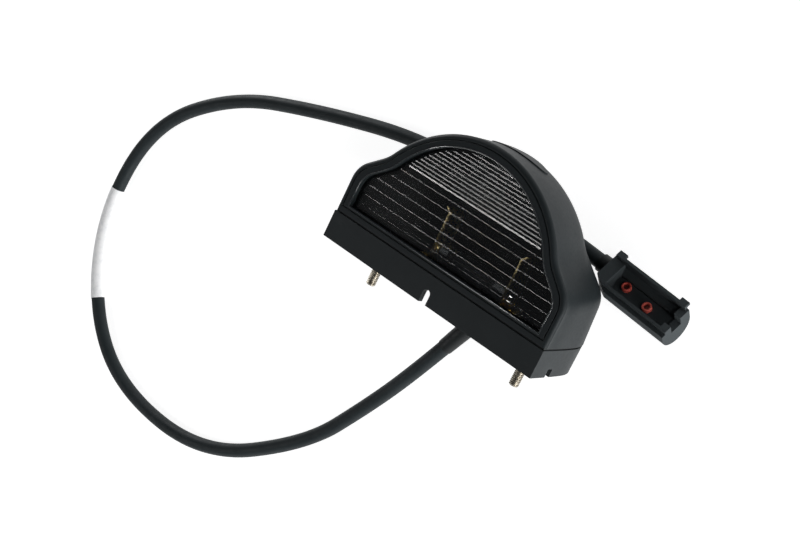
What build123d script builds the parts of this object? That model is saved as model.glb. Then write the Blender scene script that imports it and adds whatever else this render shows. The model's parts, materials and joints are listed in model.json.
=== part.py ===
from build123d import *
import math
import os

os.makedirs("parts", exist_ok=True)

# Number plate lamp lying on its back, lens up, all sizes in mm.
# X runs along the width, Y from the mounting face to the crown, Z the way the lens faces.
# The origin is midway between the two studs, on the mounting face.

# Hood and base outline
WIDTH = 106.6
DEPTH = 42.0
BASE_H = 11.8
CROWN_Y = 16.35
CROWN_IN = 5.6
SHOULDER_DOWN = 8.45
SHOULDER_DEG = 39.5
SHOULDER_R = 10.5
SHOULDER_SHRINK = 0.35
SHOULDER_R_MIN = 3.0
WAIST_R = 18.0
WAIST_GROWTH = 0.45
WALL = 2.4
BACK_TILT = 15.0
SEAL_T = 0.8
SEAL_INSET = 0.5

# How the outline draws in from front to back: share of the depth, inset of the sides,
# inset of the crown, share of the back's tilt, rise of the shoulder, narrowing of the crown
SECTIONS = [
    (0.0, 0.0, 0.0, 0.0, 0.0, 0.0),
    (0.17, 0.5, 0.0, 0.06, 0.4, 0.4),
    (0.34, 1.1, 0.1, 0.14, 1.0, 1.1),
    (0.51, 1.8, 0.25, 0.26, 1.7, 2.2),
    (0.68, 2.8, 0.6, 0.44, 2.3, 3.4),
    (0.82, 4.6, 1.9, 0.64, 2.5, 4.2),
    (0.93, 7.6, 5.4, 0.84, 2.2, 4.4),
    (1.0, 13.6, 12.4, 1.0, 1.8, 4.4),
]

# Front rim and lens
RIM_W = 4.9
RIM_ROUND = 1.6
RIM_ROUND_DEG = 86.0
RIM_STEPS = 4
RIM_GROOVE_IN = 2.0
RIM_GROOVE_W = 0.5
RIM_GROOVE_T = 0.4
LENS_RECESS = 2.4
LENS_T = 2.2
LENS_LAP = 1.6
LENS_FIT = 0.15
LENS_BOTTOM = 15.0
LENS_BACK = 0.6
RIB_H = 0.45
FINE_RIB_PITCH = 1.5
FINE_RIB_COUNT = 11
FINE_RIB_DROP = 22.45
WIDE_RIB_COUNT = 6
WIDE_RIB_EDGE = 3.2
WIDE_RIB_W = 0.8
MAIN_RIB_W = 1.7

# Crown pad
PAD_LONG = 27.0
PAD_SHORT = 10.0
PAD_RISE = 0.5
PAD_FROM_FRONT = 16.5

# Base
FLOOR_T = 2.2
FLOOR_DROP = 4.0
LIP_H = 2.4
LIP_T = 1.6
LIP_FIT = 0.5
LIP_BACK_FIT = 0.8
NOTCH_W = 3.4
NOTCH_H = 5.6
SLOT_W = 3.4
SLOT_H = 3.3
SLOT_FROM_FRONT = 13.1

# Studs
STUD_R = 2.0
STUD_SPACING = 75.8
STUD_OUT = 12.0
STUD_ROOT_R = 2.4
STUD_ROOT_FROM = 0.3
STUD_HEAD_R = 4.2
STUD_HEAD_T = 1.6
STUD_FIT = 0.1
STUD_CHAMFER = 0.5
BOSS_R = 4.8
BOSS_SHORT = 1.5

# Bulb and contacts
BULB_R = 5.0
BULB_WALL = 0.6
BULB_NECK_R = 3.5
BULB_GLASS_L = 26.0
BULB_TAPER_L = 3.2
BULB_NECK_L = 1.3
BULB_FROM_BACK = 17.2
BULB_CLEAR = 0.6
CAP_R = 4.1
CAP_TIP_R = 2.9
CAP_ON_NECK = 1.1
CAP_STRAIGHT = 3.8
CAP_FIT = 0.05
CAP_PIN_R = 2.0
CAP_PIN_END_R = 1.2
CAP_PIN_L = 1.9
BULB_SPAN = 36.0
FILAMENT_R = 0.3
CARRIER_END = 3.4
CARRIER_W = 10.0
CARRIER_T = 1.7
CONTACT_W = 10.0
CONTACT_T = 0.8
CONTACT_TOP = 31.5
CONTACT_FLARE = 2.0
CONTACT_FOOT = 8.0
CONTACT_PIN_FIT = 0.25
RIVET_R = 1.3
RIVET_HEAD_R = 2.0
RIVET_HEAD_T = 0.8
RIVET_FIT = 0.05
TERMINAL_T = 0.6
TERMINAL_W = 5.8
BARREL_R = 1.1
BARREL_L = 3.6
LEAD_R = 0.5
LEAD_APART = 1.4
LEAD_RISE = 5.4
LEAD_STRAIGHT = 5.6

# Cord exit, cord and label
GROMMET_X = 8.6
GROMMET_R = 3.9
GROMMET_HEAD_R = 4.6
GROMMET_CLEAR = 0.2
GROMMET_HEAD_T = 0.8
GROMMET_FIT = 0.05
SLEEVE_R = 3.8
SLEEVE_TIP_R = 3.3
SLEEVE_TOP = 3.0
SLEEVE_TIP = (-2.6, -19.0, -13.0)
CORD_R = 3.0
CORD_FIRST_RUN = 20.0
CORD_LAST_RUN = 19.6
CORD_MIDDLE = [
    (-24.7, -58.9, -17.4),
    (-44.3, -89.8, -18.0),
    (-90.3, -124.8, -18.0),
    (-148.0, -126.1, -18.0),
    (-182.2, -103.1, -17.6),
    (-200.2, -60.5, -17.6),
    (-192.8, -13.4, -17.6),
    (-156.0, 17.0, -18.0),
    (-110.7, 31.6, -18.0),
    (-57.5, 44.4, -18.0),
    (-14.0, 43.6, -18.0),
]
LABEL_FROM = 238.5
LABEL_L = 52.0
LABEL_T = 0.3
LABEL_FIT = 0.05

# Connector
CONN_X = 43.0
CONN_Y = 38.6
CONN_TURN = -5.4
CONN_ROLL = 35.0
CONN_L = 35.0
CONN_R = 7.0
CONN_TOP = 4.6
CHANNEL_START = 5.2
CHANNEL_END = 3.0
CHANNEL_NEAR = 4.4
CHANNEL_FAR = 3.4
CHANNEL_FLOOR = -1.0
FAR_STEP = 1.4
FAR_SLOPE_DEG = 43.0
TAPER_L = 6.6
TAPER_IN = 3.6
RAIL_T = 1.2
RAIL_H = 2.2
RAIL_GAP = 0.9
EAR_L = 3.5
EAR_T = 1.4
END_CUT_HALF = 2.4
END_CUT_FLOOR = 0.6
NEAR_STEP = 1.6
GLAND_R = 3.6
GLAND_L = 5.0
GLAND_SIDE = 1.8
PIN_R = 1.0
PIN_RISE = 0.8
PIN_ROOT = 2.6
PIN_FIT = 0.03
PIN_FIRST = 9.9
PIN_PITCH = 11.2
PIN_SIDES = (1.0, -0.3)
RING_R = 1.9
RING_T = 1.7
RING_BORE_R = 1.15
RING_ROUND = 0.35

CROWN_R = WIDTH / 2 - CROWN_IN
SHOULDER_Y = BASE_H + WIDTH / 4 - SHOULDER_DOWN
HEIGHT = CROWN_Y + CROWN_R
FRONT = DEPTH / 2
FLOOR = -DEPTH / 2
BASE_TOP = BASE_H - SEAL_T
FLOOR_TOP = BASE_TOP - FLOOR_DROP
FLOOR_Y = FLOOR_TOP - FLOOR_T
RIM_T = LENS_RECESS + LENS_T + LENS_BACK
FINE_RIB_START = HEIGHT - FINE_RIB_DROP
WIDE_RIB_PITCH = (FINE_RIB_START - LENS_BOTTOM - WIDE_RIB_EDGE) / WIDE_RIB_COUNT
CARRIER_TOP = FLOOR_TOP + CARRIER_T
BULB_Y = CARRIER_TOP + BULB_CLEAR + BULB_R
BULB_Z = FLOOR + BULB_FROM_BACK
LIP_FRONT = FRONT - RIM_T - LIP_FIT
LIP_BACK = FLOOR + WALL + LIP_BACK_FIT + LIP_H * math.tan(math.radians(BACK_TILT))
GROMMET_Z = LIP_BACK + LIP_T + GROMMET_CLEAR + GROMMET_HEAD_R
CAP_START = BULB_GLASS_L / 2 - CAP_ON_NECK


def save(name, shape):
    """Writes one node as its own STEP file."""
    solids = shape.solids()
    shape = solids[0] if len(solids) == 1 else Compound(children=list(solids))
    shape.label = name
    export_step(shape, f"parts/{name}.step")
    print(f"{name}: {len(solids)} solid, volume {shape.volume:.1f}")


def arc(centre, start, end):
    """The shorter arc about a centre from start to end."""
    middle = (start - centre + end - centre).normalized() * (start - centre).length
    return ThreePointArc(start, centre + middle, end)


def outline(side_inset, bottom, crown_inset=None, shoulder_rise=0.0, crown_narrow=0.0):
    """Front outline of the hood moved in by its insets, with y measured from the seam."""
    crown_inset = side_inset if crown_inset is None else crown_inset
    inset = (side_inset + crown_inset) / 2
    half = WIDTH / 2 - side_inset
    crown_r = CROWN_R - crown_inset - crown_narrow
    shoulder_r = max(SHOULDER_R - SHOULDER_SHRINK * inset, SHOULDER_R_MIN)
    waist_r = WAIST_R + WAIST_GROWTH * inset
    slope = math.radians(SHOULDER_DEG)
    out = Vector(math.sin(slope), math.cos(slope))
    up = Vector(-math.cos(slope), math.sin(slope))
    # The shoulder's straight runs up through this point
    through = Vector(WIDTH / 2, SHOULDER_Y - BASE_H + shoulder_rise) - out * inset
    # Shoulder bend, touching the side and the straight
    shoulder_x = half - shoulder_r
    shoulder_y = through.Y - (shoulder_r + (shoulder_x - through.X) * out.X) / out.Y
    shoulder = Vector(shoulder_x, shoulder_y)
    # Waist bend, touching the straight and the crown's circle from outside
    crown = Vector(0, CROWN_Y - BASE_H + crown_narrow)
    reach = crown_r + waist_r
    offset = through + out * waist_r - crown
    along = offset.dot(up)
    waist = crown + offset - up * (along + math.sqrt(along ** 2 - offset.dot(offset) + reach ** 2))
    side_top = Vector(half, shoulder_y)
    straight_from = shoulder + out * shoulder_r
    straight_to = waist - out * waist_r
    crown_from = crown + (waist - crown) * (crown_r / reach)
    right = [
        Line((half, bottom), side_top),
        arc(shoulder, side_top, straight_from),
        Line(straight_from, straight_to),
        arc(waist, straight_to, crown_from),
    ]
    left = [edge.mirror(Plane.YZ) for edge in right]
    apex = crown + Vector(0, crown_r)
    crown_to = Vector(-crown_from.X, crown_from.Y)
    top = ThreePointArc(crown_from, apex, crown_to)
    floor_line = Line((-half, bottom), (half, bottom))
    return make_face([floor_line, *right, top, *left])


def section_plane(share, tilt_share, z_front, z_back):
    """Plane of one hood section, hinged about the seam line and leaning forward as it goes back."""
    tilt = math.radians(BACK_TILT * tilt_share)
    origin = (0, BASE_H, z_front - share * (z_front - z_back))
    return Plane(origin=origin, x_dir=(1, 0, 0), z_dir=(0, -math.sin(tilt), math.cos(tilt)))


def dome_body(inset, bottom, z_front, z_back):
    """Bell-shaped solid through the sections, moved in by inset."""
    faces = []
    for share, side_in, crown_in, tilt_share, rise, narrow in SECTIONS:
        plane = section_plane(share, tilt_share, z_front, z_back)
        faces.append(plane * outline(inset + side_in, bottom, inset + crown_in, rise, narrow))
    return loft(faces)


def round_rim():
    """Rounded front edge of the hood, from the front face back to the full outline."""
    faces = []
    full = math.radians(RIM_ROUND_DEG)
    for step in range(RIM_STEPS + 1):
        angle = full * step / RIM_STEPS
        inset = RIM_ROUND * (math.sin(full) - math.sin(angle))
        z = FRONT - RIM_ROUND * (1 - math.cos(angle))
        faces.append(Pos(0, BASE_H, z) * outline(inset, 0))
    return loft(faces)


def drum(inset, y0, y1, z_front, z_back):
    """Straight-sided solid with the base's plan, moved in by inset, from y0 to y1."""
    points = []
    for share, side_in, *_ in SECTIONS:
        points.append((WIDTH / 2 - inset - side_in, z_front - share * (z_front - z_back)))
    right = Spline(*points)
    left = right.mirror(Plane.YZ)
    front = Line(left @ 0, right @ 0)
    back = Line(left @ 1, right @ 1)
    plan = Plane(origin=(0, y0, 0), x_dir=(1, 0, 0), z_dir=(0, -1, 0))
    return extrude(plan * make_face([front, right, back, left]), y0 - y1)


def upright(radius, x, z, y0, y1):
    """Cylinder along Y from y0 to y1."""
    return Pos(x, (y0 + y1) / 2, z) * Rot(90, 0, 0) * Cylinder(radius, y1 - y0)


def block(x0, x1, y0, y1, z0, z1):
    """Box between two corners."""
    return Pos((x0 + x1) / 2, (y0 + y1) / 2, (z0 + z1) / 2) * Box(x1 - x0, y1 - y0, z1 - z0)


def bend_radii(points):
    """Bend radius at each inner point, from the shorter of its two runs."""
    radii = []
    for a, b, c in zip(points, points[1:], points[2:]):
        v1 = Vector(*b) - Vector(*a)
        v2 = Vector(*c) - Vector(*b)
        turn = math.radians(v1.get_angle(v2))
        radii.append(0.45 * min(v1.length, v2.length) / math.tan(turn / 2))
    return radii


def tube_path(points):
    """Straight runs joined by tangent arcs."""
    return FilletPolyline(*points, radius=bend_radii(points))


def tube(path, radius):
    """Round tube along a path."""
    start = Plane(origin=path @ 0, z_dir=path % 0)
    return sweep(start * Circle(radius), path=path)


# Hood
rim_back = FRONT - RIM_ROUND * (1 - math.cos(math.radians(RIM_ROUND_DEG)))
shell = dome_body(0, 0, rim_back, FLOOR) + round_rim()
pad = dome_body(-PAD_RISE, 0, FRONT, FLOOR)
pad_plane = Plane(origin=(0, BASE_H, FRONT - PAD_FROM_FRONT), x_dir=(1, 0, 0), z_dir=(0, 1, 0))
pad_prism = extrude(pad_plane * Ellipse(PAD_LONG / 2, PAD_SHORT / 2), WIDTH)
pad_prism = pad_prism & block(-WIDTH, WIDTH, HEIGHT - CROWN_R / 2, 2 * HEIGHT, FLOOR, FRONT)
shell = shell + (pad & pad_prism)
cavity = dome_body(WALL, -WALL, FRONT - RIM_T, FLOOR + WALL)
shell = shell - cavity
window = Plane(origin=(0, BASE_H, FRONT), x_dir=(1, 0, 0), z_dir=(0, 0, 1))
opening = window * outline(RIM_W, LENS_BOTTOM - BASE_H)
shell = shell - extrude(opening, -DEPTH / 2)
seat = RIM_W - LENS_LAP
seat_window = window.offset(-LENS_RECESS)
shell = shell - extrude(seat_window * outline(seat, LENS_BOTTOM - BASE_H - LENS_LAP), -LENS_T - LENS_BACK)
groove_in = RIM_GROOVE_IN + RIM_GROOVE_W
groove = outline(RIM_GROOVE_IN, RIM_GROOVE_IN) - outline(groove_in, groove_in)
shell = shell - extrude(window * groove, -RIM_GROOVE_T)
save("hood", shell)

# Lens, with its ribs along X on the front face
lens_shape = seat_window * outline(seat + LENS_FIT, LENS_BOTTOM - BASE_H - LENS_LAP + LENS_FIT)
lens = extrude(lens_shape, -LENS_T)
ribs = []
for i in range(FINE_RIB_COUNT):
    ribs.append((FINE_RIB_START + (i + 0.5) * FINE_RIB_PITCH, FINE_RIB_PITCH * 0.46))
for i in range(WIDE_RIB_COUNT):
    ribs.append((FINE_RIB_START - (i + 1) * WIDE_RIB_PITCH, WIDE_RIB_W / 2))
ribs.append((FINE_RIB_START - MAIN_RIB_W / 2, MAIN_RIB_W / 2))
rib_face = FRONT - LENS_RECESS
rib_clip = extrude(window * outline(RIM_W + 1.0, LENS_BOTTOM - BASE_H + 1.0), -DEPTH / 2)
rib_plane = Plane(origin=(-WIDTH / 2, 0, 0), x_dir=(0, 1, 0), z_dir=(1, 0, 0))
for rib_y, half in ribs:
    profile = [(rib_y - half, rib_face - 0.3), (rib_y + half, rib_face - 0.3), (rib_y + half, rib_face)]
    profile = profile + [(rib_y, rib_face + RIB_H), (rib_y - half, rib_face)]
    bar = extrude(rib_plane * make_face(Polyline(*profile, close=True).edges()), WIDTH)
    lens = lens + (bar & rib_clip)
save("lens", lens)

# Seam seal
seal = drum(SEAL_INSET, BASE_TOP, BASE_H, FRONT - SEAL_INSET, FLOOR + SEAL_INSET)
seal = seal - drum(WALL, BASE_TOP - 1, BASE_H + 1, FRONT - RIM_T, FLOOR + WALL)
save("hood_seal", seal)

# Base
base = drum(0, 0, BASE_TOP, FRONT, FLOOR)
base = base - drum(WALL, -FLOOR_Y, FLOOR_Y, FRONT - WALL, FLOOR + WALL)
lip = drum(WALL + LIP_FIT, BASE_TOP - 0.5, BASE_H + LIP_H, LIP_FRONT, LIP_BACK)
lip_in = WALL + LIP_FIT + LIP_T
base = base + lip
base = base - drum(lip_in, FLOOR_TOP, BASE_H + LIP_H + 2, LIP_FRONT - LIP_T, LIP_BACK + LIP_T)
for side in (-1, 1):
    base = base + upright(BOSS_R, side * STUD_SPACING / 2, 0, BOSS_SHORT, FLOOR_Y + 0.5)
head_from = FLOOR_TOP - STUD_HEAD_T
slot_z = FRONT - SLOT_FROM_FRONT
for side in (-1, 1):
    stud_x = side * STUD_SPACING / 2
    base = base - upright(STUD_ROOT_R + STUD_FIT, stud_x, 0, -1, FLOOR_TOP + 1)
    base = base - upright(STUD_HEAD_R + STUD_FIT, stud_x, 0, head_from, FLOOR_TOP + 1)
    x0, x1 = sorted((side * (WIDTH / 2 - 3 * WALL), side * WIDTH))
    base = base - block(x0, x1, -1, SLOT_H, slot_z - SLOT_W / 2, slot_z + SLOT_W / 2)
base = base - upright(GROMMET_R + GROMMET_FIT, GROMMET_X, GROMMET_Z, FLOOR_Y - 1, FLOOR_TOP + 1)
notch_z = FRONT - WALL / 2
notch_y = NOTCH_H - NOTCH_W / 2
base = base - block(-NOTCH_W / 2, NOTCH_W / 2, -1, notch_y, notch_z - WALL, notch_z + WALL)
base = base - Pos(0, notch_y, notch_z) * Cylinder(NOTCH_W / 2, 2 * WALL)
save("base", base)

# Studs
for side, word in ((-1, "left"), (1, "right")):
    x = side * STUD_SPACING / 2
    stud = upright(STUD_R, x, 0, -STUD_OUT, STUD_ROOT_FROM)
    stud = chamfer(stud.edges().sort_by(Axis.Y)[0], STUD_CHAMFER)
    stud = stud + upright(STUD_ROOT_R, x, 0, STUD_ROOT_FROM, head_from)
    stud = stud + upright(STUD_HEAD_R, x, 0, head_from, FLOOR_TOP)
    save(f"stud_{word}", stud)

# Contact carrier
blade_x = BULB_SPAN / 2
rivet_x = blade_x + CONTACT_FOOT / 2 + CONTACT_T / 2
carrier_z0 = BULB_Z - CARRIER_W / 2
carrier_z1 = BULB_Z + CARRIER_W / 2
carrier_x = rivet_x + CARRIER_END
carrier = block(-carrier_x, carrier_x, FLOOR_TOP, CARRIER_TOP, carrier_z0, carrier_z1)
carrier = chamfer(carrier.edges().filter_by(Axis.Y), 1.5)
for side in (-1, 1):
    hole_x = side * rivet_x
    carrier = carrier - upright(RIVET_R + RIVET_FIT, hole_x, BULB_Z, FLOOR_TOP - 1, CARRIER_TOP + 1)
plug_room = GROMMET_HEAD_R + GROMMET_CLEAR
carrier = carrier - upright(plug_room, GROMMET_X, GROMMET_Z, FLOOR_TOP - 1, CARRIER_TOP + 1)
save("contact_carrier", carrier)

# Contacts, terminals, rivets and bulb caps, one of each per side
foot_top = CARRIER_TOP + CONTACT_T
lug_top = foot_top + TERMINAL_T
barrel_y = lug_top + BARREL_R - 0.3
barrel_dir = Vector(math.sqrt(0.5), 0, math.sqrt(0.5))
barrel_end = Vector(rivet_x - 2.2, barrel_y, BULB_Z - TERMINAL_W / 2 - BARREL_L * 0.9)
for side, word in ((-1, "left"), (1, "right")):
    x0 = blade_x
    x1 = blade_x + CONTACT_T
    xf = blade_x + CONTACT_FOOT
    bend_y = CONTACT_TOP - CONTACT_FLARE
    profile = [(x0, CARRIER_TOP), (xf, CARRIER_TOP), (xf, foot_top), (x1, foot_top), (x1, bend_y)]
    flare_x = x1 + CONTACT_FLARE
    profile = profile + [(flare_x, CONTACT_TOP), (flare_x - CONTACT_T * 1.3, CONTACT_TOP), (x0, bend_y)]
    profile = [(side * px, py) for px, py in profile]
    contact_face = make_face(Polyline(*profile, close=True).edges())
    contact = extrude(Pos(0, 0, BULB_Z - CONTACT_W / 2) * contact_face, CONTACT_W, dir=(0, 0, 1))
    hole = Rot(0, 90, 0) * Cylinder(CAP_PIN_R + CONTACT_PIN_FIT, 4 * CONTACT_T)
    contact = contact - Pos(side * blade_x, BULB_Y, BULB_Z) * hole
    contact = contact - upright(RIVET_R + RIVET_FIT, side * rivet_x, BULB_Z, CARRIER_TOP - 1, foot_top + 1)
    save(f"contact_{word}", contact)

    half = TERMINAL_W / 2
    lug_x0, lug_x1 = sorted((side * (rivet_x - half), side * (rivet_x + half)))
    lug = block(lug_x0, lug_x1, foot_top, lug_top, BULB_Z - half, BULB_Z + half)
    tail_x0, tail_x1 = sorted((side * (rivet_x - half), side * rivet_x))
    lug = lug + block(tail_x0, tail_x1, foot_top, lug_top, BULB_Z - half - 2.6, BULB_Z - half)
    end = Vector(side * barrel_end.X, barrel_end.Y, barrel_end.Z)
    along = Vector(side * barrel_dir.X, 0, barrel_dir.Z)
    barrel = extrude(Plane(origin=end, z_dir=along) * Circle(BARREL_R), BARREL_L)
    lug = lug + barrel
    lug = lug - upright(RIVET_R + RIVET_FIT, side * rivet_x, BULB_Z, foot_top - 1, lug_top + 1)
    save(f"terminal_{word}", lug)

    rivet = upright(RIVET_R, side * rivet_x, BULB_Z, FLOOR_TOP, lug_top)
    rivet = rivet + upright(RIVET_HEAD_R, side * rivet_x, BULB_Z, lug_top, lug_top + RIVET_HEAD_T)
    save(f"rivet_{word}", rivet)

    glass_end = BULB_GLASS_L / 2
    cap_line = CAP_START + CAP_STRAIGHT
    cap_in = BULB_NECK_R + CAP_FIT
    pin_end = blade_x + CAP_PIN_L
    profile = [(CAP_START, cap_in), (CAP_START, CAP_R), (cap_line, CAP_R), (blade_x, CAP_TIP_R)]
    profile = profile + [(blade_x, CAP_PIN_R), (blade_x + CONTACT_T, CAP_PIN_R)]
    profile = profile + [(pin_end, CAP_PIN_END_R), (pin_end, 0)]
    profile = profile + [(glass_end, 0), (glass_end, cap_in)]
    cap = revolve(make_face(Polyline(*profile, close=True).edges()), Axis.X)
    cap = cap if side > 0 else cap.mirror(Plane.YZ)
    save(f"bulb_cap_{word}", Pos(0, BULB_Y, BULB_Z) * cap)

# Bulb glass and filament
glass_end = BULB_GLASS_L / 2
neck = glass_end - BULB_NECK_L
straight = neck - BULB_TAPER_L
neck_in = BULB_NECK_R - BULB_WALL
body_in = BULB_R - BULB_WALL
upper = [(-neck, BULB_NECK_R), (-straight, BULB_R), (straight, BULB_R), (neck, BULB_NECK_R)]
upper = [(-glass_end, BULB_NECK_R)] + upper + [(glass_end, BULB_NECK_R)]
lower = [(neck, neck_in), (straight, body_in), (-straight, body_in), (-neck, neck_in)]
lower = [(glass_end, neck_in)] + lower + [(-glass_end, neck_in)]
glass = revolve(make_face(Polyline(*upper, *lower, close=True).edges()), Axis.X)
save("bulb_glass", Pos(0, BULB_Y, BULB_Z) * glass)
filament = Rot(0, 90, 0) * Cylinder(FILAMENT_R, BULB_GLASS_L)
save("bulb_filament", Pos(0, BULB_Y, BULB_Z) * filament)

# Cable grommet: plug in the base floor, then a sleeve that leans towards the cord
tip = Vector(*SLEEVE_TIP)
root = Vector(GROMMET_X, SLEEVE_TOP, GROMMET_Z)
sleeve_dir = (tip - root).normalized()
plug_top = FLOOR_TOP + GROMMET_HEAD_T
plug = upright(GROMMET_R, GROMMET_X, GROMMET_Z, SLEEVE_TOP - 1.5, plug_top)
plug = plug + upright(GROMMET_HEAD_R, GROMMET_X, GROMMET_Z, FLOOR_TOP, plug_top)
plug = plug + upright(GROMMET_HEAD_R, GROMMET_X, GROMMET_Z, SLEEVE_TOP - 1.5, FLOOR_Y)
sleeve_l = (tip - root).length
sleeve = Pos(0, 0, sleeve_l / 2) * Cone(SLEEVE_R, SLEEVE_TIP_R, sleeve_l)
sleeve = Plane(origin=root, z_dir=sleeve_dir) * sleeve
save("cable_grommet", plug + sleeve)

# Inner leads
lead_end_right = barrel_end
lead_end_left = Vector(-barrel_end.X, barrel_end.Y, barrel_end.Z)
lead_before_right = lead_end_right - barrel_dir * LEAD_STRAIGHT
lead_before_left = lead_end_left - Vector(-barrel_dir.X, 0, barrel_dir.Z) * LEAD_STRAIGHT
lead_start_y = plug_top + 0.5 * LEAD_R
lead_top_y = plug_top + LEAD_RISE
right_x = GROMMET_X + 3 * LEAD_APART
left_x = GROMMET_X - 3 * LEAD_APART
right_points = [
    (GROMMET_X + LEAD_APART, lead_start_y, GROMMET_Z),
    (right_x, lead_top_y, GROMMET_Z - LEAD_APART / 2),
    tuple(lead_before_right),
    tuple(lead_end_right),
]
left_points = [
    (GROMMET_X - LEAD_APART, lead_start_y, GROMMET_Z),
    (left_x, lead_top_y, GROMMET_Z - LEAD_APART / 2),
    ((left_x + lead_before_left.X) / 2, lead_top_y - LEAD_APART, GROMMET_Z - LEAD_APART),
    tuple(lead_before_left),
    tuple(lead_end_left),
]
for word, points in (("left", left_points), ("right", right_points)):
    print(f"lead_{word} bend radii", [round(r, 1) for r in bend_radii(points)])
    save(f"lead_{word}", tube(tube_path(points), LEAD_R))

# Connector frame: x along its length, z out of its channel
turn = math.radians(CONN_TURN)
roll = math.radians(CONN_ROLL)
conn_axis = Vector(math.cos(turn), math.sin(turn), 0)
conn_side = Vector(-math.sin(turn), math.cos(turn), 0)
conn_open = Vector(0, 0, 1) * math.cos(roll) + conn_side * math.sin(roll)
conn_at = Vector(CONN_X, CONN_Y, FLOOR + CONN_R)
conn = Plane(origin=conn_at, x_dir=conn_axis, z_dir=conn_open)


def conn_block(x0, x1, y0, y1, z0, z1):
    """Box between two corners in the connector's own frame."""
    return conn * block(x0, x1, y0, y1, z0, z1)


def conn_prism(points, x0, x1):
    """Prism along the connector from a profile in its own y and z."""
    face = make_face(Polyline(*points, close=True).edges())
    return conn * extrude(Plane(origin=(x0, 0, 0), x_dir=(0, 1, 0), z_dir=(1, 0, 0)) * face, x1 - x0)


belly = Pos(CONN_L / 2, 0, 0) * Rot(0, 90, 0) * Cylinder(CONN_R, CONN_L)
belly = belly - block(-1, CONN_L + 1, -2 * CONN_R, 2 * CONN_R, 0, 2 * CONN_R)
housing = conn * belly + conn_block(0, CONN_L, -CONN_R, CONN_R, 0, CONN_TOP)
# Channel with an upright near wall and a far wall that slopes out to the rail
slope_from = CHANNEL_FLOOR + FAR_STEP
rail_in = CONN_R - RAIL_T
slope_to = slope_from + (rail_in - CHANNEL_FAR) * math.tan(math.radians(FAR_SLOPE_DEG))
channel = [(-CHANNEL_NEAR, CONN_TOP + 1), (-CHANNEL_NEAR, CHANNEL_FLOOR), (CHANNEL_FAR, CHANNEL_FLOOR)]
channel = channel + [(CHANNEL_FAR, slope_from), (rail_in, slope_to), (rail_in, CONN_TOP + 1)]
housing = housing - conn_prism(channel, CHANNEL_START, CONN_L - CHANNEL_END)
# Near side that narrows towards the cord
taper = Polyline((0, -CONN_R + TAPER_IN), (TAPER_L, -CONN_R), (0, -CONN_R), close=True)
housing = housing - conn * extrude(Plane.XY.offset(-2 * CONN_R) * make_face(taper.edges()), 4 * CONN_R)
step_y = -CONN_R + NEAR_STEP
housing = housing - conn_block(-1, CONN_L + 1, -CONN_R - 1, step_y, CONN_TOP - NEAR_STEP, CONN_TOP + 1)
cut_x = CONN_L - CHANNEL_END - 1
housing = housing - conn_block(cut_x, CONN_L + 1, -END_CUT_HALF, END_CUT_HALF, END_CUT_FLOOR, CONN_TOP + 1)
rail_x = CONN_L - RAIL_GAP
rail_top = CONN_TOP + RAIL_H
housing = housing + conn_block(RAIL_GAP, rail_x, rail_in, CONN_R, CONN_TOP - 0.5, rail_top)
for x0 in (RAIL_GAP, rail_x - EAR_L):
    housing = housing + conn_block(x0, x0 + EAR_L, CONN_R - 0.5, CONN_R + EAR_T, rail_top - EAR_T, rail_top)
pin_l = PIN_ROOT + PIN_RISE
pin_z = CHANNEL_FLOOR - PIN_ROOT + pin_l / 2
for n in range(2):
    hole = Pos(PIN_FIRST + n * PIN_PITCH, PIN_SIDES[n], pin_z) * Cylinder(PIN_R + PIN_FIT, pin_l)
    housing = housing - conn * hole
save("connector_body", housing)

for n, word in ((0, "near"), (1, "far")):
    pin_x = PIN_FIRST + n * PIN_PITCH
    pin = Pos(pin_x, PIN_SIDES[n], pin_z) * Cylinder(PIN_R, pin_l)
    save(f"connector_pin_{word}", conn * pin)
    ring = Cylinder(RING_R, RING_T) - Cylinder(RING_BORE_R, RING_T + 2)
    ring = fillet(ring.edges().sort_by(Axis.Z)[-2:], RING_ROUND)
    ring_z = CHANNEL_FLOOR + RING_T / 2
    save(f"connector_seal_{word}", conn * (Pos(pin_x, PIN_SIDES[n], ring_z) * ring))

# Gland, low on the connector's end so that it lies on the same surface
gland_from = Vector(CONN_X, CONN_Y, FLOOR + GLAND_R) + conn_side * GLAND_SIDE
gland_face = gland_from - conn_axis * GLAND_L
gland = extrude(Plane(origin=gland_face, z_dir=conn_axis) * Circle(GLAND_R), GLAND_L)
save("connector_gland", gland)

# Cord from the sleeve's tip to the gland's face
first_bend = tip + sleeve_dir * CORD_FIRST_RUN
last_bend = gland_face - conn_axis * CORD_LAST_RUN
cord_points = [tuple(tip), tuple(first_bend)] + CORD_MIDDLE
cord_points = cord_points + [tuple(last_bend), tuple(gland_face)]
cord_path = tube_path(cord_points)
cord = tube(cord_path, CORD_R)
print("cord bend radii", [round(r, 1) for r in bend_radii(cord_points)])
print("cord points", [tuple(round(c, 2) for c in p) for p in cord_points])
print("cord length", round(cord_path.length, 1), "volume", round(cord.volume, 1))
print("section times length", round(math.pi * CORD_R ** 2 * cord_path.length, 1))
save("cord", cord)

# Paper label wrapped round the cord
label_path = cord_path.trim(LABEL_FROM / cord_path.length, (LABEL_FROM + LABEL_L) / cord_path.length)
label_start = Plane(origin=label_path @ 0, z_dir=label_path % 0)
label_ring = Circle(CORD_R + LABEL_FIT + LABEL_T) - Circle(CORD_R + LABEL_FIT)
save("cord_label", sweep(label_start * label_ring, path=label_path))
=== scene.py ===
import json
import math

import bmesh
import bpy
import numpy as np
from mathutils import Matrix, Vector


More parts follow.
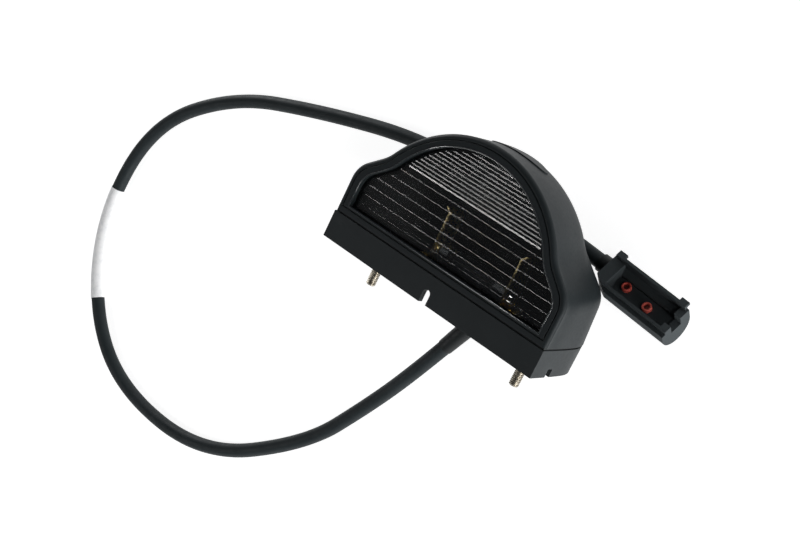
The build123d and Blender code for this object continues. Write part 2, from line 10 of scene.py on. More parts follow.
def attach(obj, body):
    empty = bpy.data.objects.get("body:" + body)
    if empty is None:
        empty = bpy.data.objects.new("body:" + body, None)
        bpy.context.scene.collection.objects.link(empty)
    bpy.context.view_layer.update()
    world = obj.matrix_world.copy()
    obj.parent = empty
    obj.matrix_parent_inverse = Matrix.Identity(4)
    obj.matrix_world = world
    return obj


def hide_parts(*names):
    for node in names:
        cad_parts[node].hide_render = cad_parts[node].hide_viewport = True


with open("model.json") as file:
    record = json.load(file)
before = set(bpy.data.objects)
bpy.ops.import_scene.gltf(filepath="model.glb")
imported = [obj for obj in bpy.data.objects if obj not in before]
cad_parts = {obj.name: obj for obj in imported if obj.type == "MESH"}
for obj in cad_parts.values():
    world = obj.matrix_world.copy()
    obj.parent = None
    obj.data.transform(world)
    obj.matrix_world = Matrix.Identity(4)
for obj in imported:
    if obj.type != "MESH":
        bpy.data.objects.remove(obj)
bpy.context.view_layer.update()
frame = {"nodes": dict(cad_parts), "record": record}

# Number plate lamp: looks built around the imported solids.
# Sizes are in mm and angles in radians, unless a name says otherwise.
MM = 0.001
FULL_TURN = 2 * math.pi

# Hood's front outline, the same values as the solids have
WIDTH = 106.6
CROWN_Y = 16.35
CROWN_R = 47.7
SHOULDER_Y = 30.0
SHOULDER_DEG = 39.5
SHOULDER_R = 10.5
SHOULDER_SHRINK = 0.35
WAIST_R = 18.0
WAIST_GROWTH = 0.45
SHOULDER_STEPS = 16
WAIST_STEPS = 24
CROWN_STEPS = 60

# Lens
LENS_INSET = 3.45
LENS_LOW = 13.55
LENS_FRONT = 18.6
LENS_BACK = 16.4
LENS_TOP_GAP = 0.02
LENS_ROW = 0.5
LENS_COLUMNS = 60
LENS_SMOOTH_DEG = 8
CLOSEST_ROWS = 0.01

# Lens's ribs: fine ones above, one flatter main rib, wide-spaced ones below
RIB_INSET = 5.9
RIB_LOW = 16.0
RIB_FADE = 0.9
RIB_ROWS = 6
RIB_SLOPE = math.tan(math.radians(18.0))
FINE_START = 41.6
FINE_PITCH = 1.5
FINE_COUNT = 11
FINE_FACET = 0.5
FINE_END = FINE_START + FINE_COUNT * FINE_PITCH
MAIN_SLOPE = math.tan(math.radians(10.0))
MAIN_LOW = 40.15
MAIN_PEAK = 40.75
WIDE_PITCH = 3.9
WIDE_COUNT = 6
WIDE_HALF = 0.2

# Glossy bead round the window, on the rim's inner edge
WINDOW_INSET = 4.9
WINDOW_LOW = 15.0
BEAD_R = 0.3
BEAD_Z = 20.85
BEAD_SIDES = 10
LEAST_MITRE = 0.5

# Studs; a thread flank over 1 leaves a flat crest
STUD_X = 37.9
STUD_R = 2.0
STUD_OUT = 12.0
STUD_CHAMFER = 0.5
STUD_ROOT = 0.3
STUD_ROOT_R = 2.4
STUD_HEAD = 5.4
STUD_HEAD_R = 4.2
STUD_HEAD_EDGE = 0.3
STUD_TOP = 7.0
STUD_SIDES = 40
STUD_SMOOTH_DEG = 40
THREAD_PITCH = 0.7
THREAD_DEPTH = 0.38
THREAD_STEPS = 14
THREAD_FLANK = 1.25

# Bulb's filament
BULB_Y = 14.3
BULB_Z = -3.8
BULB_HALF = 13.0
SUPPORT_END = 7.4
COIL_LONG = 14.0
COIL_R = 0.45
COIL_TURNS = 22
COIL_STEPS = 14
WIRE_R = 0.11
WIRE_SIDES = 8
WIRE_SMOOTH_DEG = 60
WIRE_FIRST_UP = (0.0, 0.31, 0.95)

# Cord route, the same points as the solid tube has
CORD_R = 3.0
CORD_POINTS = [
    (-2.6, -19.0, -13.0),
    (-11.64, -36.75, -14.81),
    (-24.7, -58.9, -17.4),
    (-44.3, -89.8, -18.0),
    (-90.3, -124.8, -18.0),
    (-148.0, -126.1, -18.0),
    (-182.2, -103.1, -17.6),
    (-200.2, -60.5, -17.6),
    (-192.8, -13.4, -17.6),
    (-156.0, 17.0, -18.0),
    (-110.7, 31.6, -18.0),
    (-57.5, 44.4, -18.0),
    (-14.0, 43.6, -18.0),
    (18.68, 42.71, -17.4),
    (38.19, 40.86, -17.4),
]
CORD_STEPS = 24
CORD_BEVEL_STEPS = 7

# Label on the cord: a wrap that starts at one angle, overlaps itself and is crumpled at one end
LABEL_FROM = 238.5
LABEL_LONG = 52.0
LABEL_ROWS = 60
LABEL_TURN_STEPS = 44
LABEL_START = -2.2
LABEL_OVERLAP = 0.7
LABEL_GAP = 0.16
LABEL_LIFT = 0.13
LABEL_T = 0.09
LABEL_AHEAD = 1.0
LABEL_SMOOTH_DEG = 40
CRUMPLE_ROWS = 12
CRUMPLE_DEPTH = 0.05
CRUMPLE_WAVES = 5
CRUMPLE_TWIST = 0.9

# Photograph's camera
CAMERA_AT = (298.62, 143.78, 503.07)
CAMERA_RIGHT = (0.6985, 0.425, -0.5757)
CAMERA_DOWN = (0.48, -0.875, -0.0635)
CAMERA_FORWARD = (-0.5307, -0.232, -0.8152)
CAMERA_LENS_MM = 72.0
CAMERA_SENSOR_MM = 36.0
CAMERA_CLIP_M = (0.01, 50.0)

# Floor, and a room that is bright up to a low height in the sky and dim from a higher one
FLOOR_Z = -21.0
FLOOR_REACH_M = 6.0
FLOOR_GLOW = 0.85
FLOOR_DARK = (0.6, 0.6, 0.6)
FLOOR_LIGHT = (0.62, 0.62, 0.62)
ROOM_BRIGHT = (0.95, 0.97, 1.0)
ROOM_BRIGHT_TO = 0.1
ROOM_DIM = (0.035, 0.037, 0.039)
ROOM_DIM_FROM = 0.4

# Softboxes: direction from the lamp, distance in m, width and height in m, radiance.
# The key lights the hood's side. The others show as reflections: on the ribs' facets, the lens's
# face, the window bead and the bulb's caps.
SOFTBOX_AIM_M = (0.0, 0.03, 0.0)
SOFTBOXES = {
    "key_softbox": ((0.94, -0.3, 0.15), 1.1, (0.9, 0.28), 15.0),
    "rib_softbox": ((-0.51, -0.64, 0.575), 1.0, (0.34, 0.3), 3.0),
    "main_rib_softbox": ((-0.515, -0.454, 0.727), 1.0, (0.26, 0.2), 6.0),
    "haze_softbox": ((-0.7, -0.17, 0.71), 1.35, (0.4, 0.5), 0.04),
    "edge_softbox": ((-0.9, 0.42, 0.12), 1.0, (0.16, 0.3), 24.0),
    "catch_softbox": ((0.75, 0.26, 0.61), 1.0, (0.14, 0.14), 14.0),
}

# Finishes
SHELL_DARK = (0.0125, 0.0162, 0.0178)
SHELL_LIGHT = (0.015, 0.0192, 0.021)
SCUFF_TINT = (0.3, 0.32, 0.33)
CLEAR_TINT = (0.97, 0.98, 0.98)
# Painted shade: grey for the label paper's creases, where white paper is only shaded
PAINTED_SHADE_GREY = (0.78, 0.79, 0.8)
PAPER_WHITE = (0.92, 0.92, 0.92)
SKIN_ROUGH = 0.08
SKIN_IOR = 1.6
EDGE_SAMPLES = 6


# Materials

def shader_of(mat):
    """Principled shader of a material."""
    return mat.node_tree.nodes["Principled BSDF"]


def new_material(name, **constants):
    """Principled material with constants on the shader's sockets, named with _ for a space."""
    mat = bpy.data.materials.new(name)
    mat.use_nodes = True
    for socket, value in constants.items():
        shader_of(mat).inputs[socket.replace("_", " ")].default_value = value
    return mat


def noise(mat, per_mm, detail=3.0, roughness=0.55, stretch=(1.0, 1.0, 1.0)):
    """Noise value over the object's own coordinates, with per_mm features in a millimetre."""
    nodes, links = mat.node_tree.nodes, mat.node_tree.links
    where = nodes.new("ShaderNodeTexCoord")
    scaled = nodes.new("ShaderNodeMapping")
    scaled.inputs["Scale"].default_value = stretch
    texture = nodes.new("ShaderNodeTexNoise")
    texture.inputs["Scale"].default_value = per_mm / MM
    texture.inputs["Detail"].default_value = detail
    texture.inputs["Roughness"].default_value = roughness
    links.new(where.outputs["Object"], scaled.inputs["Vector"])
    links.new(scaled.outputs["Vector"], texture.inputs["Vector"])
    return texture.outputs["Fac"]


def ramp(owner, value, first, second, low=0.35, high=0.65):
    """Colour that goes from first, at a low value, to second, at a high one."""
    node = owner.node_tree.nodes.new("ShaderNodeValToRGB")
    for element, position, colour in zip(node.color_ramp.elements, (low, high), (first, second)):
        element.position = position
        element.color = (*colour, 1.0)
    owner.node_tree.links.new(value, node.inputs["Fac"])
    return node.outputs["Color"]


def spread(mat, value, low, high, from_low=0.3, from_high=0.7):
    """Value mapped to a range."""
    node = mat.node_tree.nodes.new("ShaderNodeMapRange")
    node.inputs["From Min"].default_value = from_low
    node.inputs["From Max"].default_value = from_high
    node.inputs["To Min"].default_value = low
    node.inputs["To Max"].default_value = high
    mat.node_tree.links.new(value, node.inputs["Value"])
    return node.outputs["Result"]


def lighten(mat, colour, amount, tint):
    """Colour moved towards a tint by an amount."""
    node = mat.node_tree.nodes.new("ShaderNodeMix")
    node.data_type = "RGBA"
    node.inputs["B"].default_value = (*tint, 1.0)
    mat.node_tree.links.new(amount, node.inputs["Factor"])
    mat.node_tree.links.new(colour, node.inputs["A"])
    return node.outputs["Result"]


def feed(mat, socket, value):
    """Links a value to one of the shader's sockets."""
    mat.node_tree.links.new(value, shader_of(mat).inputs[socket])


def relief(mat, height, depth_mm, strength, edge_mm=0.0):
    """Bump from a height, over edges that are rounded by edge_mm."""
    nodes, links = mat.node_tree.nodes, mat.node_tree.links
    bump = nodes.new("ShaderNodeBump")
    bump.inputs["Strength"].default_value = strength
    bump.inputs["Distance"].default_value = depth_mm * MM
    links.new(height, bump.inputs["Height"])
    if edge_mm:
        edge = nodes.new("ShaderNodeBevel")
        edge.samples = EDGE_SAMPLES
        edge.inputs["Radius"].default_value = edge_mm * MM
        links.new(edge.outputs["Normal"], bump.inputs["Normal"])
    feed(mat, "Normal", bump.outputs["Normal"])


def moulded_plastic(name, dark, light, rough, edge_mm, scuffs=0.0, specular=0.45):
    """Moulded plastic with a fine grain, uneven sheen and pale scuffs."""
    mat = new_material(name, Specular_IOR_Level=specular)
    colour = ramp(mat, noise(mat, per_mm=0.06, detail=4.0), dark, light)
    if scuffs:
        streak = noise(mat, per_mm=0.06, detail=7.0, roughness=0.7, stretch=(0.6, 1.6, 1.0))
        patch = spread(mat, streak, low=0.0, high=scuffs, from_low=0.55, from_high=0.85)
        colour = lighten(mat, colour, patch, SCUFF_TINT)
    feed(mat, "Base Color", colour)
    sheen = noise(mat, per_mm=0.9, detail=5.0)
    feed(mat, "Roughness", spread(mat, sheen, low=rough - 0.03, high=rough + 0.03))
    relief(mat, noise(mat, per_mm=4.0, detail=2.0), depth_mm=0.012, strength=0.3, edge_mm=edge_mm)
    return mat


def rubber(name, dark, light, rough, specular=0.4, edge_mm=0.2):
    """Rubber or soft plastic with a soft sheen and a slightly uneven skin."""
    mat = new_material(name, Specular_IOR_Level=specular)
    feed(mat, "Base Color", ramp(mat, noise(mat, per_mm=0.09, detail=4.0), dark, light))
    sheen = noise(mat, per_mm=0.5, detail=4.0)
    feed(mat, "Roughness", spread(mat, sheen, low=rough - 0.07, high=rough + 0.07))
    relief(mat, noise(mat, per_mm=1.8, detail=3.0), depth_mm=0.03, strength=0.3, edge_mm=edge_mm)
    return mat


def metal(name, dark, light, rough, edge_mm=0.1):
    """Plated or bare metal with tarnish and fine scratches."""
    mat = new_material(name, Metallic=1.0)
    feed(mat, "Base Color", ramp(mat, noise(mat, per_mm=0.7, detail=5.0), dark, light, high=0.62))
    sheen = noise(mat, per_mm=1.3, detail=4.0)
    feed(mat, "Roughness", spread(mat, sheen, low=rough - 0.08, high=rough + 0.1))
    scratch = noise(mat, per_mm=2.5, detail=3.0, stretch=(1.0, 0.15, 1.0))
    relief(mat, scratch, depth_mm=0.01, strength=0.3, edge_mm=edge_mm)
    return mat


def clear(name, tint, ior, skin=0.0):
    """Clear moulded plastic or glass with a faint tint, haze and a softly polished skin."""
    mat = new_material(
        name,
        Transmission_Weight=1.0,
        IOR=ior,
        Coat_Weight=skin,
        Coat_Roughness=SKIN_ROUGH,
        Coat_IOR=SKIN_IOR,
    )
    cloud = noise(mat, per_mm=0.05, detail=2.0)
    feed(mat, "Base Color", ramp(mat, cloud, tint, CLEAR_TINT, low=0.3, high=0.7))
    haze = noise(mat, per_mm=0.08, detail=5.0)
    feed(mat, "Roughness", spread(mat, haze, low=0.0, high=0.02))
    return mat


def paper(name):
    """White paper with fibres, and faint grey blotches of painted shade that stand in for shade in
    creases.
    """
    mat = new_material(name, Specular_IOR_Level=0.25)
    # Grey blotches of painted shade, as if in creases; the paper itself is white
    painted_shade = noise(mat, per_mm=0.35, detail=5.0, roughness=0.65)
    feed(mat, "Base Color", ramp(mat, painted_shade, PAINTED_SHADE_GREY, PAPER_WHITE, low=0.3, high=0.55))
    feed(mat, "Roughness", spread(mat, noise(mat, per_mm=1.5), low=0.6, high=0.8))
    relief(mat, noise(mat, per_mm=4.0, detail=4.0), depth_mm=0.03, strength=0.4)
    return mat


MATERIALS = {
    "hood_plastic": moulded_plastic(
        "hood_plastic", SHELL_DARK, SHELL_LIGHT, rough=0.5, edge_mm=0.4, specular=0.16),
    "base_plastic": moulded_plastic(
        "base_plastic", SHELL_DARK, SHELL_LIGHT, rough=0.5, edge_mm=0.25, scuffs=0.06, specular=0.2),
    "hood_bead": moulded_plastic(
        "hood_bead", SHELL_DARK, SHELL_LIGHT, rough=0.16, edge_mm=0.0, specular=1.0),
    "carrier_plastic": moulded_plastic(
        "carrier_plastic", (0.02, 0.02, 0.02), (0.03, 0.03, 0.03), rough=0.5, edge_mm=0.2),
    "plug_plastic": moulded_plastic(
        "plug_plastic", (0.045, 0.052, 0.055), (0.055, 0.063, 0.066),
        rough=0.5, edge_mm=0.3, specular=0.02),
    "clear_lens": clear("clear_lens", (0.93, 0.95, 0.95), ior=1.2, skin=1.0),
    "bulb_glass": clear("bulb_glass", (0.95, 0.96, 0.97), ior=1.5),
    "black_rubber": rubber(
        "black_rubber", (0.009, 0.011, 0.0115), (0.013, 0.0155, 0.016), rough=0.5, specular=0.2),
    "cord_jacket": rubber(
        "cord_jacket", (0.0155, 0.0205, 0.0225), (0.0205, 0.0262, 0.0285),
        rough=0.55, specular=0.15, edge_mm=0.0),
    "lead_insulation": rubber(
        "lead_insulation", (0.01, 0.01, 0.01), (0.02, 0.02, 0.02), rough=0.3),
    "ring_rubber": rubber("ring_rubber", (0.56, 0.075, 0.055), (0.78, 0.15, 0.11), rough=0.5),
    "zinc_steel": metal("zinc_steel", (0.34, 0.31, 0.26), (0.6, 0.56, 0.48), rough=0.36),
    "contact_brass": metal("contact_brass", (0.82, 0.61, 0.27), (0.98, 0.81, 0.42), rough=0.3),
    "cap_metal": metal("cap_metal", (0.7, 0.7, 0.69), (0.88, 0.88, 0.86), rough=0.17),
    "filament": metal("filament", (0.25, 0.25, 0.25), (0.45, 0.44, 0.43), rough=0.35, edge_mm=0.0),
    # Pins: tarnished copper, made very dark; that darkness is painted shade of the recess they sit
    # down in within the red rings
    "pin_metal": metal("pin_metal", (0.16, 0.05, 0.04), (0.3, 0.11, 0.08), rough=0.5),
    "label_paper": paper("label_paper"),
}


# Helpers

def add_object(name, data):
    """New object in the scene."""
    added = bpy.data.objects.new(name, data)
    bpy.context.scene.collection.objects.link(added)
    return added


def add_mesh(name, verts_mm, faces, slot, replaced=None, smooth_deg=None):
    """Mesh piece from points in mm that rides on the body and takes a slot's material."""
    mesh = bpy.data.meshes.new(name)
    mesh.from_pydata([tuple(c * MM for c in v) for v in verts_mm], [], faces)
    bm = bmesh.new()
    bm.from_mesh(mesh)
    bmesh.ops.recalc_face_normals(bm, faces=bm.faces)
    bm.to_mesh(mesh)
    bm.free()
    mesh.materials.append(MATERIALS[slot])
    mesh.shade_smooth()
    if smooth_deg is not None:
        mesh.set_sharp_from_angle(angle=math.radians(smooth_deg))
    piece = add_object(name, mesh)
    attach(piece, "root")
    if replaced:
        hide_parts(replaced)
    return piece


def arc_points(centre, start, end, steps):
    """Points from start to end on the shorter arc about a centre."""
    a, b = start - centre, end - centre
    turn = math.atan2(a.cross(b), a.dot(b))
    points = []
    for n in range(steps + 1):
        points.append(centre + Matrix.Rotation(turn * n / steps, 2) @ a)
    return points


def right_edge(inset, low):
    """Right half of the hood's outline moved in by inset, from its low corner to the crown's top."""
    half = WIDTH / 2 - inset
    crown_r = CROWN_R - inset
    shoulder_r = SHOULDER_R - SHOULDER_SHRINK * inset
    waist_r = WAIST_R + WAIST_GROWTH * inset
    slope = math.radians(SHOULDER_DEG)
    out = Vector((math.sin(slope), math.cos(slope)))
    up = Vector((-math.cos(slope), math.sin(slope)))
    through = Vector((WIDTH / 2, SHOULDER_Y)) - out * inset
    shoulder_x = half - shoulder_r
    shoulder_y = through.y - (shoulder_r + (shoulder_x - through.x) * out.x) / out.y
    shoulder = Vector((shoulder_x, shoulder_y))
    crown = Vector((0.0, CROWN_Y))
    crown_top = crown + Vector((0.0, crown_r))
    reach = crown_r + waist_r
    offset = through + out * waist_r - crown
    along = offset.dot(up)
    back = along + math.sqrt(along ** 2 - offset.dot(offset) + reach ** 2)
    waist = crown + offset - up * back
    crown_from = crown + (waist - crown) * (crown_r / reach)
    points = [Vector((half, low))]
    points += arc_points(
        shoulder, Vector((half, shoulder_y)), shoulder + out * shoulder_r, SHOULDER_STEPS)
    points += arc_points(waist, waist - out * waist_r, crown_from, WAIST_STEPS)
    points += arc_points(crown, crown_from, crown_top, CROWN_STEPS)[1:]
    return points


def ring_faces(rows, sides):
    """Quads of a grid of rings, closed round each ring."""
    faces = []
    for row in range(rows - 1):
        for n in range(sides):
            after = (n + 1) % sides
            low, high = row * sides, (row + 1) * sides
            faces.append((low + n, low + after, high + after, high + n))
    return faces


def tube_faces(rows, sides):
    """Faces of a grid of rings with a cap on the first and the last ring."""
    last = (rows - 1) * sides
    return ring_faces(rows, sides) + [tuple(range(sides)), tuple(range(last, last + sides))]


# Pieces

def rib_height(y):
    """Height of the ribs over the lens's face, at a height y on the lens."""
    if y >= FINE_END:
        return 0.0
    if y >= FINE_START:
        along = (y - FINE_START) % FINE_PITCH
        return RIB_SLOPE * min(along, FINE_FACET, FINE_PITCH - along)
    if y > MAIN_LOW:
        fall = (FINE_START - y) / (FINE_START - MAIN_PEAK)
        return MAIN_SLOPE * min(y - MAIN_LOW, (MAIN_PEAK - MAIN_LOW) * fall)
    from_rib = abs((FINE_START - y + WIDE_PITCH / 2) % WIDE_PITCH - WIDE_PITCH / 2)
    return RIB_SLOPE * max(WIDE_HALF - from_rib, 0.0)


def lens_rows(top):
    """Heights of the lens's rows, closer together on the ribs."""
    rows = {LENS_LOW + n * LENS_ROW for n in range(int((top - LENS_LOW) / LENS_ROW))} | {top}
    rows = {y for y in rows if y < MAIN_LOW or y > FINE_END}
    for n in range(FINE_COUNT * RIB_ROWS + 1):
        rows.add(FINE_START + n * FINE_PITCH / RIB_ROWS)
    for n in range(1, WIDE_COUNT + 1):
        centre = FINE_START - n * WIDE_PITCH
        rows |= {centre - WIDE_HALF, centre, centre + WIDE_HALF}
    rows |= {MAIN_LOW, (MAIN_LOW + MAIN_PEAK) / 2, MAIN_PEAK, FINE_START}
    spaced = []
    for y in sorted(rows):
        if not spaced or y - spaced[-1] > CLOSEST_ROWS:
            spaced.append(y)
    return spaced


def build_lens():
    """Clear lens whose ribs fade out before the rim."""
    edge = np.array([tuple(p) for p in right_edge(LENS_INSET, LENS_LOW)])
    ribbed = np.array([tuple(p) for p in right_edge(RIB_INSET, RIB_LOW)])
    heights = lens_rows(edge[-1][1] - LENS_TOP_GAP)
    rows, columns = len(heights), LENS_COLUMNS + 1
    verts, faces = [], []
    # Ribbed face
    for y in heights:
        half = float(np.interp(y, edge[:, 1], edge[:, 0]))
        rib_half = 0.0
        if RIB_LOW < y < ribbed[-1][1]:
            rib_half = float(np.interp(y, ribbed[:, 1], ribbed[:, 0]))
        height = rib_height(y)
        for column in range(columns):
            x = half * math.sin(math.pi / 2 * (2 * column / LENS_COLUMNS - 1))
            fade = min(max((rib_half - abs(x)) / RIB_FADE, 0.0), 1.0)
            verts.append((x, y, LENS_FRONT + height * fade * fade * (3 - 2 * fade)))
    # Flat back, as wide as the face
    back = len(verts)
    for row in range(rows):
        verts.append((*verts[row * columns][:2], LENS_BACK))
        verts.append((*verts[row * columns + LENS_COLUMNS][:2], LENS_BACK))
    for row in range(rows - 1):
        for column in range(LENS_COLUMNS):
            a = row * columns + column
            faces.append((a, a + 1, a + columns + 1, a + columns))
        # Back and both sides
        b = back + 2 * row
        faces.append((b, b + 2, b + 3, b + 1))
        left, right = row * columns, row * columns + LENS_COLUMNS
        faces.append((left, left + columns, b + 2, b))
        faces.append((right, b + 1, b + 3, right + columns))
    # Low edge and crown
    faces.append((*range(columns), back + 1, back))
    last = (rows - 1) * columns
    faces.append((*range(last, last + columns), back + 2 * rows - 1, back + 2 * rows - 2))
    return add_mesh("ribbed_lens", verts, faces, "clear_lens", "lens", LENS_SMOOTH_DEG)


def build_window_bead():
    """Fine glossy bead that runs round the window on the rim's inner edge."""
    right = right_edge(WINDOW_INSET, WINDOW_LOW)
    loop = right + [Vector((-p.x, p.y)) for p in right[-2::-1]]
    count, verts = len(loop), []
    for n, point in enumerate(loop):
        before = (point - loop[n - 1]).normalized()
        after = (loop[(n + 1) % count] - point).normalized()
        along = (before + after).normalized()
        out = Vector((along.y, -along.x)) / max(along.dot(after), LEAST_MITRE)
        for k in range(BEAD_SIDES):
            angle = FULL_TURN * k / BEAD_SIDES
            where = point + out * (BEAD_R * math.cos(angle))
            verts.append((where.x, where.y, BEAD_Z + BEAD_R * math.sin(angle)))
    faces = ring_faces(count, BEAD_SIDES)
    last = (count - 1) * BEAD_SIDES
    for k in range(BEAD_SIDES):
        after = (k + 1) % BEAD_SIDES
        faces.append((last + k, last + after, after, k))
    piece = add_mesh("window_bead", verts, faces, "hood_plastic")
    piece.data.materials[0] = MATERIALS["hood_bead"]
    return piece


def build_stud(word, side):
    """Threaded stud with its smooth root and flat head."""
    tip = -STUD_OUT
    rows = []
    steps = int((STUD_ROOT - tip) / THREAD_PITCH * THREAD_STEPS)
    for n in range(steps + 1):
        y = tip + (STUD_ROOT - tip) * n / steps
        limit = STUD_R - STUD_CHAMFER + (y - tip)
        ring = []
        for k in range(STUD_SIDES):
            phase = (y / THREAD_PITCH + k / STUD_SIDES) % 1.0
            crest = min(abs(2 * phase - 1) * THREAD_FLANK, 1.0)
            ring.append((y, min(STUD_R - THREAD_DEPTH * (1 - crest), limit)))
        rows.append(ring)
    profile = (
        (STUD_ROOT, STUD_ROOT_R),
        (STUD_HEAD, STUD_ROOT_R),
        (STUD_HEAD, STUD_HEAD_R),
        (STUD_TOP - STUD_HEAD_EDGE, STUD_HEAD_R),
        (STUD_TOP, STUD_HEAD_R - STUD_HEAD_EDGE),
    )
    for y, radius in profile:
        rows.append([(y, radius)] * STUD_SIDES)
    verts = []
    for ring in rows:
        for k, (y, radius) in enumerate(ring):
            angle = FULL_TURN * k / STUD_SIDES
            x = side * STUD_X + radius * math.cos(angle)
            verts.append((x, y, radius * math.sin(angle)))
    faces = tube_faces(len(rows), STUD_SIDES)
    return add_mesh(
        f"threaded_stud_{word}", verts, faces, "zinc_steel", f"stud_{word}", STUD_SMOOTH_DEG)


def filament_points():
    """Line of the filament's wire: a coil between two straight supports."""
    points = [Vector((-BULB_HALF, BULB_Y, BULB_Z)), Vector((-SUPPORT_END, BULB_Y, BULB_Z))]
    count = COIL_TURNS * COIL_STEPS
    for n in range(count + 1):
        angle = FULL_TURN * n / COIL_STEPS
        x = -COIL_LONG / 2 + COIL_LONG * n / count
        y = BULB_Y + COIL_R * math.cos(angle)
        points.append(Vector((x, y, BULB_Z + COIL_R * math.sin(angle))))
    points += [Vector((SUPPORT_END, BULB_Y, BULB_Z)), Vector((BULB_HALF, BULB_Y, BULB_Z))]
    return points


def build_filament():
    """Coiled wire along the bulb."""
    points = filament_points()
    verts, count = [], len(points)
    up = Vector(WIRE_FIRST_UP)
    for n, point in enumerate(points):
        tangent = (points[min(n + 1, count - 1)] - points[max(n - 1, 0)]).normalized()
        side = tangent.cross(up).normalized()
        up = side.cross(tangent).normalized()
        for k in range(WIRE_SIDES):
            angle = FULL_TURN * k / WIRE_SIDES
            verts.append(point + (side * math.cos(angle) + up * math.sin(angle)) * WIRE_R)
    faces = tube_faces(count, WIRE_SIDES)
    return add_mesh("coiled_filament", verts, faces, "filament", "bulb_filament", WIRE_SMOOTH_DEG)


def route_curve(name):
    """Curve of one smooth spline along the cord's route."""
    curve = bpy.data.curves.new(name, "CURVE")
    curve.dimensions = "3D"
    curve.resolution_u = CORD_STEPS
    spline = curve.splines.new("NURBS")
    spline.points.add(len(CORD_POINTS) - 1)
    for point, where in zip(spline.points, CORD_POINTS):
        point.co = (*(c * MM for c in where), 1.0)
    spline.order_u = 3
    spline.use_endpoint_u = True
    return curve


def build_cord():
    """Round cord from the sleeve to the plug."""
    curve = route_curve("round_cord")
    curve.bevel_depth = CORD_R * MM
    curve.bevel_resolution = CORD_BEVEL_STEPS
    curve.use_fill_caps = True
    curve.materials.append(MATERIALS["cord_jacket"])
    piece = add_object("round_cord", curve)
    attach(piece, "root")
    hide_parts("cord")
    return piece


def route_line():
    """Points along the cord's spline, in mm, and the length up to each."""
    bare = bpy.data.objects.new("route_line", route_curve("route_line"))
    mesh = bpy.data.meshes.new_from_object(bare)
    points = [v.co / MM for v in mesh.vertices]
    bpy.data.objects.remove(bare)
    bpy.data.meshes.remove(mesh)
    lengths = [0.0]
    for a, b in zip(points, points[1:]):
        lengths.append(lengths[-1] + (b - a).length)
    return np.array([tuple(p) for p in points]), lengths


def build_label():
    """Paper wrapped round the cord with an overlapping edge and a crumpled lower end."""
    line, lengths = route_line()

    def point_at(length):
        return Vector([float(np.interp(length, lengths, line[:, k])) for k in range(3)])

    verts = []
    for row in range(LABEL_ROWS + 1):
        at = LABEL_FROM + LABEL_LONG * row / LABEL_ROWS
        here = point_at(at)
        tangent = (point_at(at + LABEL_AHEAD) - here).normalized()
        side = tangent.cross(Vector((0.0, 0.0, 1.0))).normalized()
        up = side.cross(tangent)
        crumple = CRUMPLE_DEPTH * max(0.0, 1 - row / CRUMPLE_ROWS)
        outer, inner = [], []
        for k in range(LABEL_TURN_STEPS + 1):
            share = k / LABEL_TURN_STEPS
            angle = LABEL_START + (FULL_TURN + LABEL_OVERLAP) * share
            radius = CORD_R + LABEL_GAP + LABEL_LIFT * share
            radius += crumple * math.sin(CRUMPLE_WAVES * angle + CRUMPLE_TWIST * row)
            out = side * math.cos(angle) + up * math.sin(angle)
            outer.append(here + out * radius)
            inner.append(here + out * (radius - LABEL_T))
        verts += outer + inner[::-1]
    faces = tube_faces(LABEL_ROWS + 1, 2 * (LABEL_TURN_STEPS + 1))
    return add_mesh("paper_label", verts, faces, "label_paper", "cord_label", LABEL_SMOOTH_DEG)


def dress_solids():
    """Puts each slot's material on its solids."""
    for row in frame["record"]["subparts"]:
        mesh = frame["nodes"][row["node"]].data
        mesh.materials.clear()
        mesh.materials.append(MATERIALS[row["material_slot"]])


# Stage

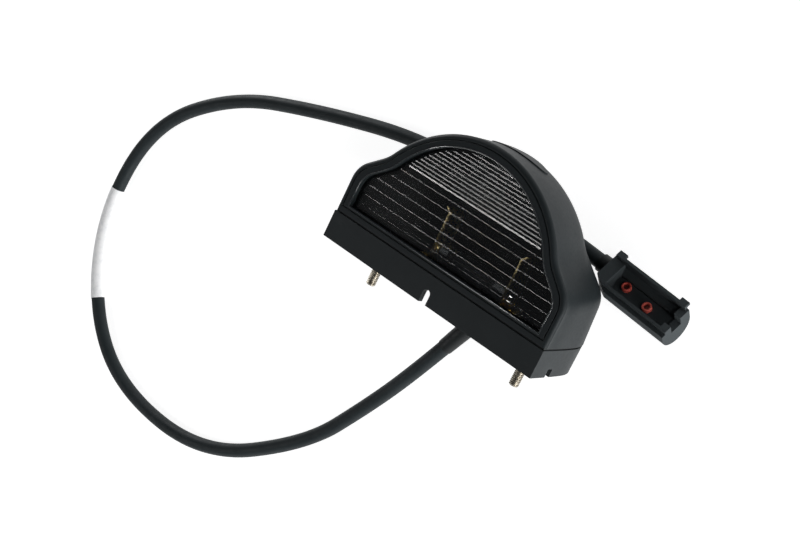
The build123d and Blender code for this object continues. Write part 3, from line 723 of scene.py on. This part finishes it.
def build_floor():
    """Plain pale floor."""
    mat = new_material(
        "floor_paper",
        Specular_IOR_Level=0.1,
        Roughness=0.9,
        Emission_Color=(1.0, 1.0, 1.0, 1.0),
        Emission_Strength=FLOOR_GLOW,
    )
    shade = ramp(mat, noise(mat, per_mm=0.002), FLOOR_DARK, FLOOR_LIGHT, low=0.3, high=0.7)
    feed(mat, "Base Color", shade)
    mesh = bpy.data.meshes.new("floor")
    reach, z = FLOOR_REACH_M, FLOOR_Z * MM
    corners = [(-reach, -reach, z), (reach, -reach, z), (reach, reach, z), (-reach, reach, z)]
    mesh.from_pydata(corners, [], [(0, 1, 2, 3)])
    mesh.materials.append(mat)
    add_object("floor", mesh)


def build_world():
    """Room that is bright near the floor and dim overhead."""
    world = bpy.data.worlds.new("room")
    bpy.context.scene.world = world
    world.use_nodes = True
    nodes, links = world.node_tree.nodes, world.node_tree.links
    where = nodes.new("ShaderNodeTexCoord")
    split = nodes.new("ShaderNodeSeparateXYZ")
    links.new(where.outputs["Generated"], split.inputs["Vector"])
    shade = ramp(world, split.outputs["Z"], ROOM_BRIGHT, ROOM_DIM, ROOM_BRIGHT_TO, ROOM_DIM_FROM)
    links.new(shade, nodes["Background"].inputs["Color"])
    nodes["Background"].inputs["Strength"].default_value = 1.0


def build_softbox(name, direction, distance_m, size_m, radiance):
    """Rectangular area light that faces the lamp."""
    light = bpy.data.lights.new(name, "AREA")
    light.shape = "RECTANGLE"
    light.size, light.size_y = size_m
    light.energy = radiance * math.pi * size_m[0] * size_m[1]
    away = Vector(direction).normalized()
    softbox = add_object(name, light)
    softbox.rotation_euler = away.to_track_quat("Z", "Y").to_euler()
    softbox.location = away * distance_m + Vector(SOFTBOX_AIM_M)


def build_camera():
    """Camera at the photograph's viewing angle."""
    data = bpy.data.cameras.new("photo_camera")
    data.lens = CAMERA_LENS_MM
    data.sensor_width = CAMERA_SENSOR_MM
    data.clip_start, data.clip_end = CAMERA_CLIP_M
    camera = add_object("photo_camera", data)
    right, down, forward = Vector(CAMERA_RIGHT), Vector(CAMERA_DOWN), Vector(CAMERA_FORWARD)
    turn = Matrix((right, -down, -forward)).transposed().to_4x4()
    camera.matrix_world = Matrix.Translation(Vector(CAMERA_AT) * MM) @ turn
    bpy.context.scene.camera = camera


# Scene

build_camera()
cord = build_cord()
label = build_label()
build_lens()
build_window_bead()
build_stud("left", -1)
build_stud("right", 1)
build_filament()
dress_solids()
build_floor()
build_world()
for box_name, values in SOFTBOXES.items():
    build_softbox(box_name, *values)
bpy.context.scene.view_settings.view_transform = "Standard"
bpy.context.scene.view_settings.look = "None"
